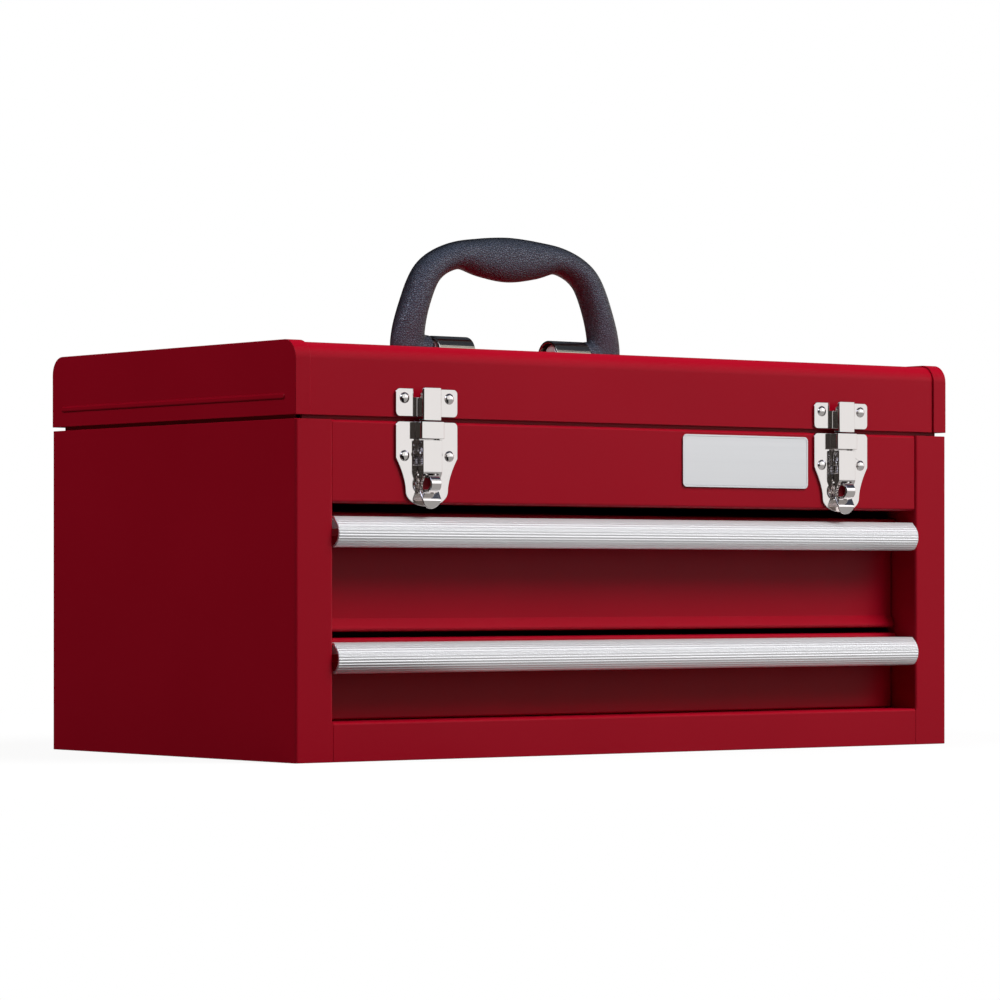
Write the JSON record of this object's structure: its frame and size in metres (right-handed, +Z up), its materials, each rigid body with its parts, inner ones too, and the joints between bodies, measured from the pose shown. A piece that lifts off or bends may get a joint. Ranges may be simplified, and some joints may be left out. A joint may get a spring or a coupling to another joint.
{
  "type": "portable tool chest",
  "caption": "Portable red steel tool box with a hinged lid, a top compartment, drawers with aluminium pulls, toggle latches and a folding carry handle.",
  "frame": {"origin": "on the floor under the middle of the case, the mount base", "axes": "+X to the right along the case's width, +Y to the hinge at the back, +Z up"},
  "size_m": [0.4612, 0.2544, 0.2918],
  "materials": {
    "red_enamel": "semi-gloss enamel",
    "chrome": "polished plate",
    "pull_aluminium": "bright extruded, fluted",
    "zinc_steel": "zinc plated",
    "plate_metal": "satin silver",
    "grip_plastic": "leather grain",
    "bearing_plastic": "plain"
  },
  "bodies": {
    "case": {"left_side_panel": "red_enamel", "right_side_panel": "red_enamel", "back_panel": "red_enamel", "bottom_panel": "red_enamel", "front_bottom_rail": "red_enamel", "front_top_rail": "red_enamel", "top_compartment": "red_enamel", "left_upper_runner": "zinc_steel", "right_upper_runner": "zinc_steel", "left_lower_runner": "zinc_steel", "right_lower_runner": "zinc_steel", "hinge_body_leaf": "red_enamel", "hinge_pin": "zinc_steel", "hinge_body_rivets": "red_enamel", "left_latch_base": "chrome", "right_latch_base": "chrome", "latch_base_rivets": "chrome", "left_staple": "chrome", "right_staple": "chrome", "name_plate": "plate_metal"},
    "lid": {"hinge_lid_leaf": "red_enamel", "hinge_lid_rivets": "red_enamel", "lid_shell": "red_enamel", "lid_left_cap": "red_enamel", "lid_right_cap": "red_enamel", "left_handle_bracket": "chrome", "right_handle_bracket": "chrome", "left_handle_bearing": "bearing_plastic", "right_handle_bearing": "bearing_plastic", "bracket_rivets": "chrome", "left_keeper": "chrome", "right_keeper": "chrome", "keeper_rivets": "chrome"},
    "handle": {"handle_grip": "grip_plastic", "left_handle_pin": "chrome", "right_handle_pin": "chrome"},
    "upper_drawer": {"upper_drawer_tray": "red_enamel", "upper_drawer_front": "red_enamel", "upper_drawer_pull": "pull_aluminium", "upper_pull_screws": "zinc_steel"},
    "lower_drawer": {"lower_drawer_tray": "red_enamel", "lower_drawer_front": "red_enamel", "lower_drawer_pull": "pull_aluminium", "lower_pull_screws": "zinc_steel"},
    "left_lever_body": {"left_lever": "chrome", "left_lever_pin": "chrome", "left_claw_pin": "chrome", "left_latch_springs": "chrome"},
    "left_claw_body": {"left_claw": "chrome"},
    "right_lever_body": {"right_lever": "chrome", "right_lever_pin": "chrome", "right_claw_pin": "chrome", "right_latch_springs": "chrome"},
    "right_claw_body": {"right_claw": "chrome"}
  },
  "joints": [
    {"name": "lid_hinge", "type": "hinge", "parent": "case", "child": "lid", "pos_m": [0, 0.12225, 0.18025], "axis": [-1, 0, 0], "range_deg": [0, 100]},
    {"name": "handle_swing", "type": "hinge", "parent": "lid", "child": "handle", "pos_m": [0, 0, 0.226], "axis": [1, 0, 0], "range_deg": [-80, 80]},
    {"name": "upper_drawer_slide", "type": "slide", "parent": "case", "child": "upper_drawer", "axis": [0, -1, 0], "range_m": [0, 0.15]},
    {"name": "lower_drawer_slide", "type": "slide", "parent": "case", "child": "lower_drawer", "axis": [0, -1, 0], "range_m": [0, 0.15]},
    {"name": "left_lever_swing", "type": "hinge", "parent": "case", "child": "left_lever_body", "pos_m": [-0.1457, -0.12365, 0.1675], "axis": [-1, 0, 0], "range_deg": [0, 100]},
    {"name": "left_claw_swing", "type": "hinge", "parent": "left_lever_body", "child": "left_claw_body", "pos_m": [-0.1457, -0.12365, 0.162], "axis": [-1, 0, 0], "range_deg": [-115, 0]},
    {"name": "right_lever_swing", "type": "hinge", "parent": "case", "child": "right_lever_body", "pos_m": [0.1481, -0.12365, 0.1675], "axis": [-1, 0, 0], "range_deg": [0, 100]},
    {"name": "right_claw_swing", "type": "hinge", "parent": "right_lever_body", "child": "right_claw_body", "pos_m": [0.1481, -0.12365, 0.162], "axis": [-1, 0, 0], "range_deg": [-115, 0]}
  ],
  "couplings": [
    {"joint": "left_claw_swing", "follows": "left_lever_swing", "ratio": -1.15},
    {"joint": "right_claw_swing", "follows": "right_lever_swing", "ratio": -1.15}
  ]
}
